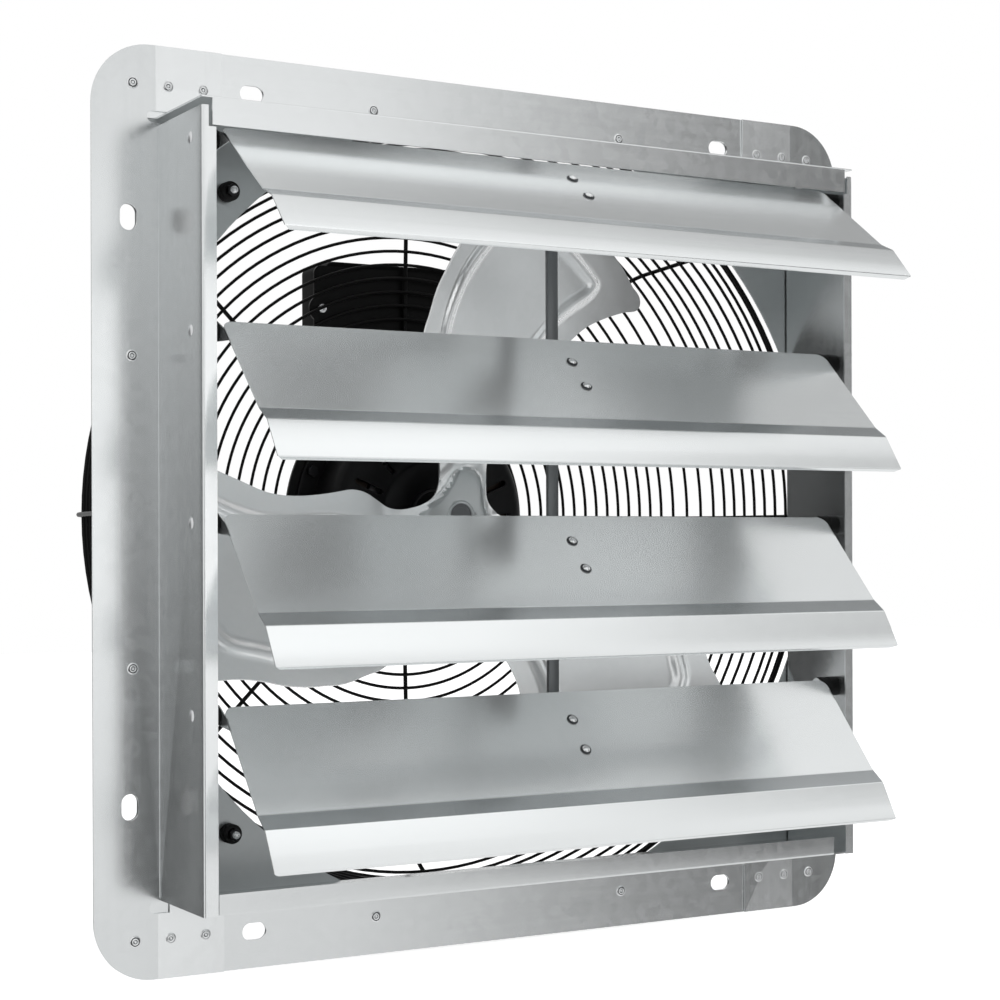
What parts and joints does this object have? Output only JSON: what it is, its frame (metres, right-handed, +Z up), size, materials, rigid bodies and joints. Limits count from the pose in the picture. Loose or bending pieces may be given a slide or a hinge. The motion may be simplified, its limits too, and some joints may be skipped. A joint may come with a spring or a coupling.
{
  "type": "shutter exhaust fan",
  "caption": "Square flanged wall exhaust fan: linked louvres on the front of a sheet-metal box, a bladed wheel and a round motor in a wire guard behind.",
  "frame": {"origin": "centre of the mounting slots, on the front face of the flange", "axes": "+Z up, -Y out through the louvres, +Y towards the motor, +X to the right seen from the louvre side"},
  "size_m": [0.6, 0.3578, 0.6],
  "materials": {
    "side_sheet": "satin galvanised sheet",
    "top_sheet": "satin galvanised sheet",
    "bottom_sheet": "satin galvanised sheet",
    "rear_sheet": "satin galvanised sheet",
    "rivet": "matte blind rivets",
    "pivot_pin": "satin",
    "bush_nylon": "matte black",
    "louvre_sheet": "satin mill finish",
    "link_steel": "satin galvanised strip",
    "guard_wire": "satin black coating",
    "rubber_bush": "matte black",
    "bolt_steel": "zinc plated",
    "black_steel": "black",
    "motor_shell": "satin black paint",
    "core_steel": "laminated steel",
    "copper_wire": "enamelled copper wire",
    "rotor_steel": "cast cage on laminations",
    "shaft_steel": "ground",
    "bearing_steel": "polished",
    "wheel_sheet": "satin mill finish",
    "sleeve_steel": "dark steel",
    "box_plastic": "matte black",
    "terminal_plastic": "matte",
    "capacitor_case": "matte grey",
    "gland_plastic": "matte black",
    "lead_sleeve": "matte black sleeve"
  },
  "bodies": {
    "housing": {"left_panel": "side_sheet", "right_panel": "side_sheet", "top_channel": "top_sheet", "bottom_channel": "bottom_sheet", "rear_panel": "rear_sheet", "frame_rivets": "rivet", "pivot_pins": "pivot_pin", "pivot_bushes": "bush_nylon", "guard_side_rings": "guard_wire", "guard_back_rings": "guard_wire", "guard_side_ribs": "guard_wire", "guard_back_ribs": "guard_wire", "guard_feet": "guard_wire", "guard_rubbers": "rubber_bush", "guard_bolts": "bolt_steel", "guard_nuts": "black_steel", "motor_plate": "black_steel", "motor_front_shell": "motor_shell", "motor_rear_shell": "motor_shell", "motor_bolts": "bolt_steel", "stator_core": "core_steel", "stator_windings": "copper_wire", "bearings": "bearing_steel", "box_bracket": "black_steel", "box_base": "box_plastic", "box_cover": "box_plastic", "box_screws": "bolt_steel", "terminal_block": "terminal_plastic", "capacitor": "capacitor_case", "cable_gland": "gland_plastic", "motor_lead": "lead_sleeve"},
    "rotor": {"fan_wheel": "wheel_sheet", "fan_sleeve": "sleeve_steel", "set_screw": "black_steel", "shaft": "shaft_steel", "rotor_core": "rotor_steel"},
    "louvre_1": {"louvre_1": "louvre_sheet", "crank_1": "link_steel", "crank_rivets_1": "rivet"},
    "louvre_2": {"louvre_2": "louvre_sheet", "crank_2": "link_steel", "crank_rivets_2": "rivet"},
    "louvre_3": {"louvre_3": "louvre_sheet", "crank_3": "link_steel", "crank_rivets_3": "rivet"},
    "louvre_4": {"louvre_4": "louvre_sheet", "crank_4": "link_steel", "crank_rivets_4": "rivet"},
    "tie_bar": {"tie_bar": "link_steel", "tie_pins": "pivot_pin"}
  },
  "joints": [
    {"name": "fan_spin", "type": "hinge", "parent": "housing", "child": "rotor", "pos_m": [0, 0.1, 0], "axis": [0, 1, 0], "continuous": true},
    {"name": "louvre_1_turn", "type": "hinge", "parent": "housing", "child": "louvre_1", "pos_m": [0, -0.055, 0.2316], "axis": [-1, 0, 0], "range_deg": [-49.6, 18.17]},
    {"name": "louvre_2_turn", "type": "hinge", "parent": "housing", "child": "louvre_2", "pos_m": [0, -0.055, 0.112], "axis": [-1, 0, 0], "range_deg": [-41.1, 15]},
    {"name": "louvre_3_turn", "type": "hinge", "parent": "housing", "child": "louvre_3", "pos_m": [0, -0.055, -0.0076], "axis": [-1, 0, 0], "range_deg": [-38.6, 14.15]},
    {"name": "louvre_4_turn", "type": "hinge", "parent": "housing", "child": "louvre_4", "pos_m": [0, -0.055, -0.1272], "axis": [-1, 0, 0], "range_deg": [-32.4, 11.89]},
    {"name": "tie_bar_pivot", "type": "hinge", "parent": "louvre_2", "child": "tie_bar", "pos_m": [0.023, -0.03305, 0.08603], "axis": [-1, 0, 0], "range_deg": [-15.1, 41.2]}
  ],
  "couplings": [
    {"joint": "louvre_1_turn", "follows": "louvre_2_turn", "ratio": 1.2044},
    {"joint": "louvre_3_turn", "follows": "louvre_2_turn", "ratio": 0.93674},
    {"joint": "louvre_4_turn", "follows": "louvre_2_turn", "ratio": 0.78589},
    {"joint": "tie_bar_pivot", "follows": "louvre_2_turn", "ratio": -1}
  ]
}
